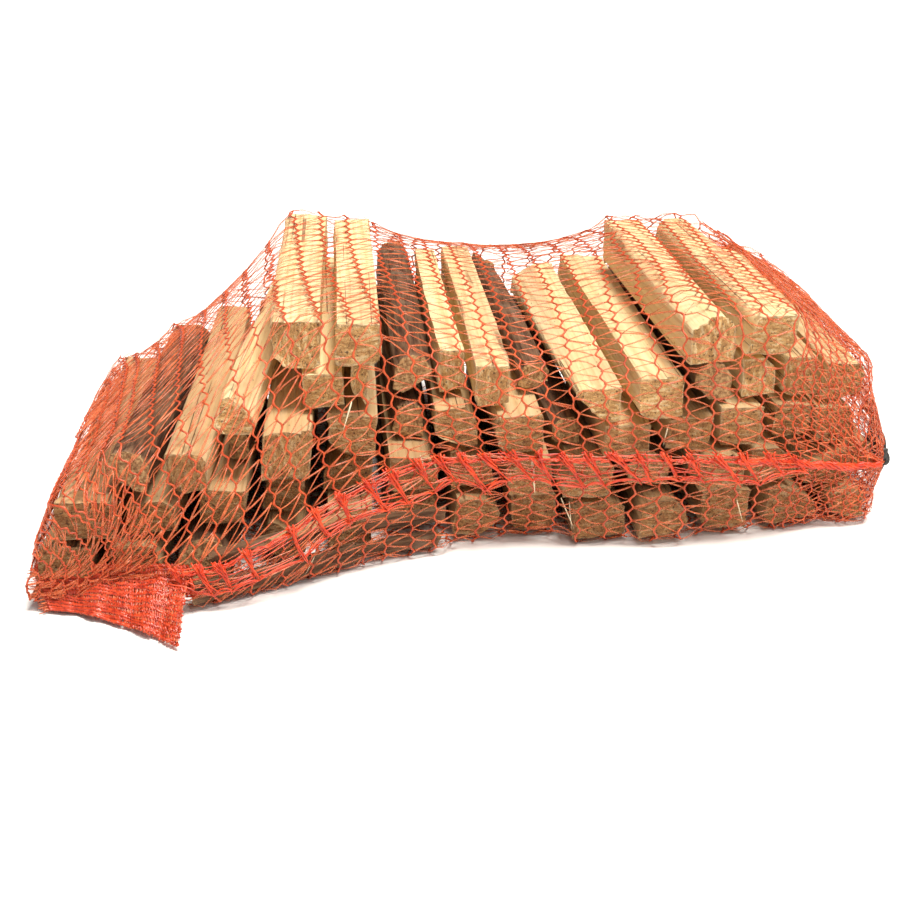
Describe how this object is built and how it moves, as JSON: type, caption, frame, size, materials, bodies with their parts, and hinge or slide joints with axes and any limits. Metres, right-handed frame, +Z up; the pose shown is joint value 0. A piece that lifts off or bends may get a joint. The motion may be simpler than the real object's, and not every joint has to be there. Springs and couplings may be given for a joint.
{
  "type": "firewood bundle",
  "caption": "Split softwood kindling sticks in an orange knitted net sack, lying on its side with a long front seam, a dense end band and a black drawstring.",
  "frame": {"origin": "middle of the bundle's outline in plan, at the height of the floor it lies on", "axes": "+X along the sack towards its drawn mouth, +Y along the sticks away from the seam side, +Z up"},
  "size_m": [0.4136, 0.3258, 0.118],
  "materials": {
    "split_wood": "rough split",
    "bark_wood": "rough bark",
    "net_cord": "knitted plastic cord, satin",
    "net_tape": "thin film tape, satin",
    "seam_cord": "gathered plastic cord, satin",
    "black_tape": "woven plastic tape, satin"
  },
  "bodies": {
    "root": {"bottom_stick_01": "split_wood", "bottom_stick_02": "split_wood", "bottom_stick_03": "bark_wood", "bottom_stick_04": "split_wood", "bottom_stick_05": "split_wood", "bottom_stick_06": "bark_wood", "bottom_stick_07": "split_wood", "bottom_stick_08": "split_wood", "bottom_stick_09": "split_wood", "bottom_stick_10": "split_wood", "bottom_stick_11": "split_wood", "bottom_stick_12": "split_wood", "second_stick_01": "split_wood", "second_stick_02": "split_wood", "second_stick_03": "split_wood", "second_stick_04": "split_wood", "second_stick_05": "split_wood", "second_stick_06": "split_wood", "second_stick_07": "split_wood", "second_stick_08": "split_wood", "second_stick_09": "split_wood", "second_stick_10": "bark_wood", "second_stick_11": "split_wood", "second_stick_12": "split_wood", "second_stick_13": "split_wood", "third_stick_01": "bark_wood", "third_stick_02": "split_wood", "third_stick_03": "bark_wood", "third_stick_04": "split_wood", "third_stick_05": "split_wood", "third_stick_06": "bark_wood", "third_stick_07": "split_wood", "third_stick_08": "split_wood", "third_stick_09": "bark_wood", "third_stick_10": "split_wood", "third_stick_11": "split_wood", "third_stick_12": "split_wood", "third_stick_13": "split_wood", "third_stick_14": "split_wood", "fourth_stick_01": "split_wood", "fourth_stick_02": "split_wood", "fourth_stick_03": "split_wood", "fourth_stick_04": "bark_wood", "fourth_stick_05": "split_wood", "fourth_stick_06": "split_wood", "fourth_stick_07": "bark_wood", "fourth_stick_08": "split_wood", "fourth_stick_09": "split_wood", "fourth_stick_10": "bark_wood", "fourth_stick_11": "split_wood", "fourth_stick_12": "split_wood", "fourth_stick_13": "split_wood", "top_stick_01": "split_wood", "top_stick_02": "split_wood", "top_stick_03": "split_wood", "top_stick_04": "split_wood", "net_bag": "net_cord", "side_seam": "seam_cord", "end_band": "seam_cord", "drawstring": "black_tape"}
  },
  "joints": []
}
